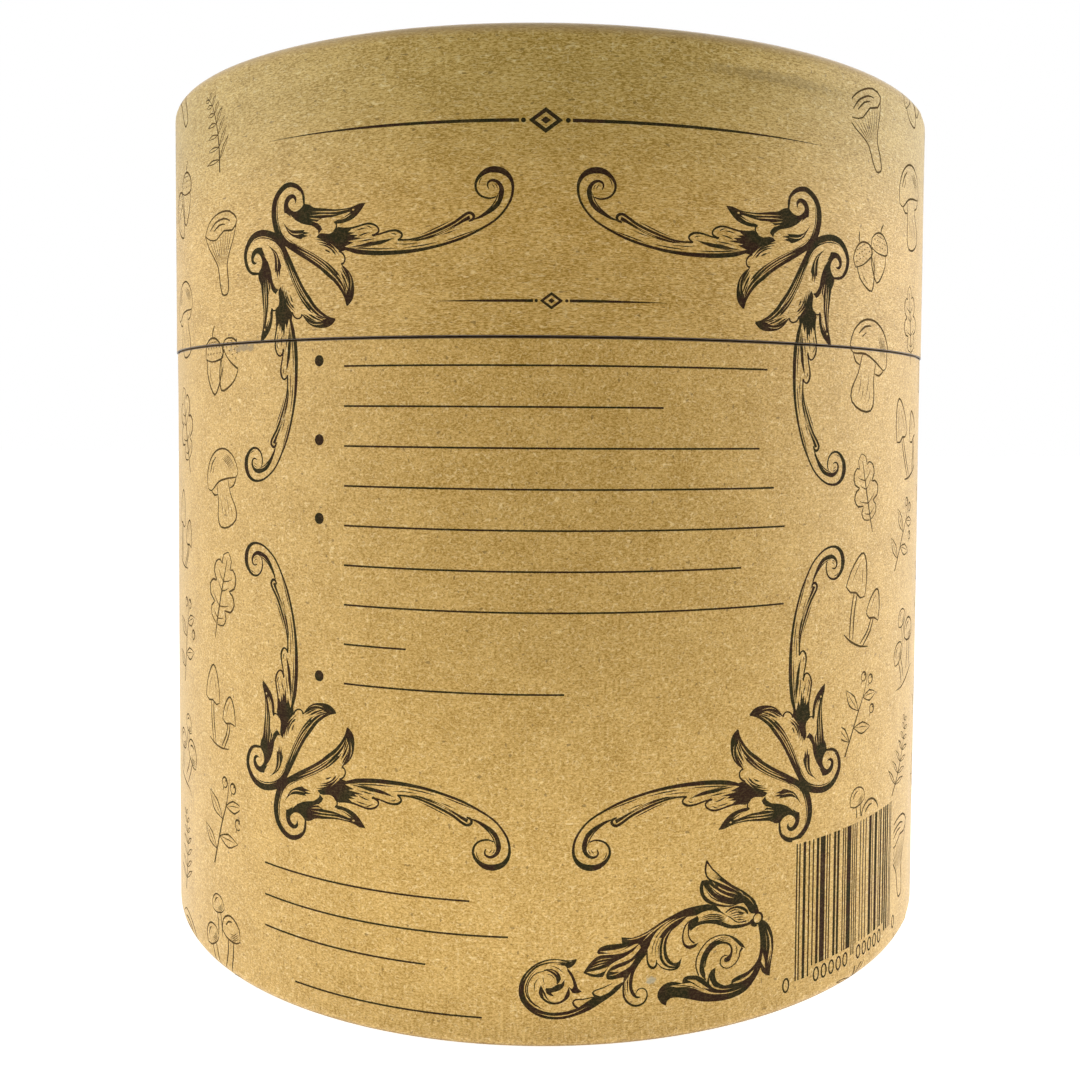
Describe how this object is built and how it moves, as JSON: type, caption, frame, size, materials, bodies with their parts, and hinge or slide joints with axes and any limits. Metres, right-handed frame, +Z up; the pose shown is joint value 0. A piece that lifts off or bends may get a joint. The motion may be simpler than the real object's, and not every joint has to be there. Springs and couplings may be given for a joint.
{
  "type": "mushroom grow kit in a round kraft paperboard canister",
  "caption": "Upright kraft paperboard canister with rolled rims, a lift-off lid over an inner neck, printed kraft paper, a growing block and a spray bottle inside.",
  "frame": {"origin": "middle of the circle that the canister stands on", "axes": "+Z up along the canister's axis, the pictured back panel faces -Y, +X to the right of someone who looks at that panel"},
  "size_m": [0.16, 0.16, 0.1612],
  "materials": {
    "printed_paper": "uncoated brown kraft paper with fine fibres and near-black line print",
    "board": "plain uncoated kraft board",
    "mycelium": "sawdust grown through with white mycelium",
    "bottle_plastic": "smooth translucent plastic",
    "cap_plastic": "satin white plastic"
  },
  "bodies": {
    "root": {"body_tube": "board", "base_disc": "board", "body_wrap": "printed_paper", "neck_tube": "board", "lid_tube": "board", "lid_disc": "board", "lid_wrap": "printed_paper", "mycelium_block": "mycelium", "spray_bottle": "bottle_plastic", "spray_cap": "cap_plastic"}
  },
  "joints": []
}
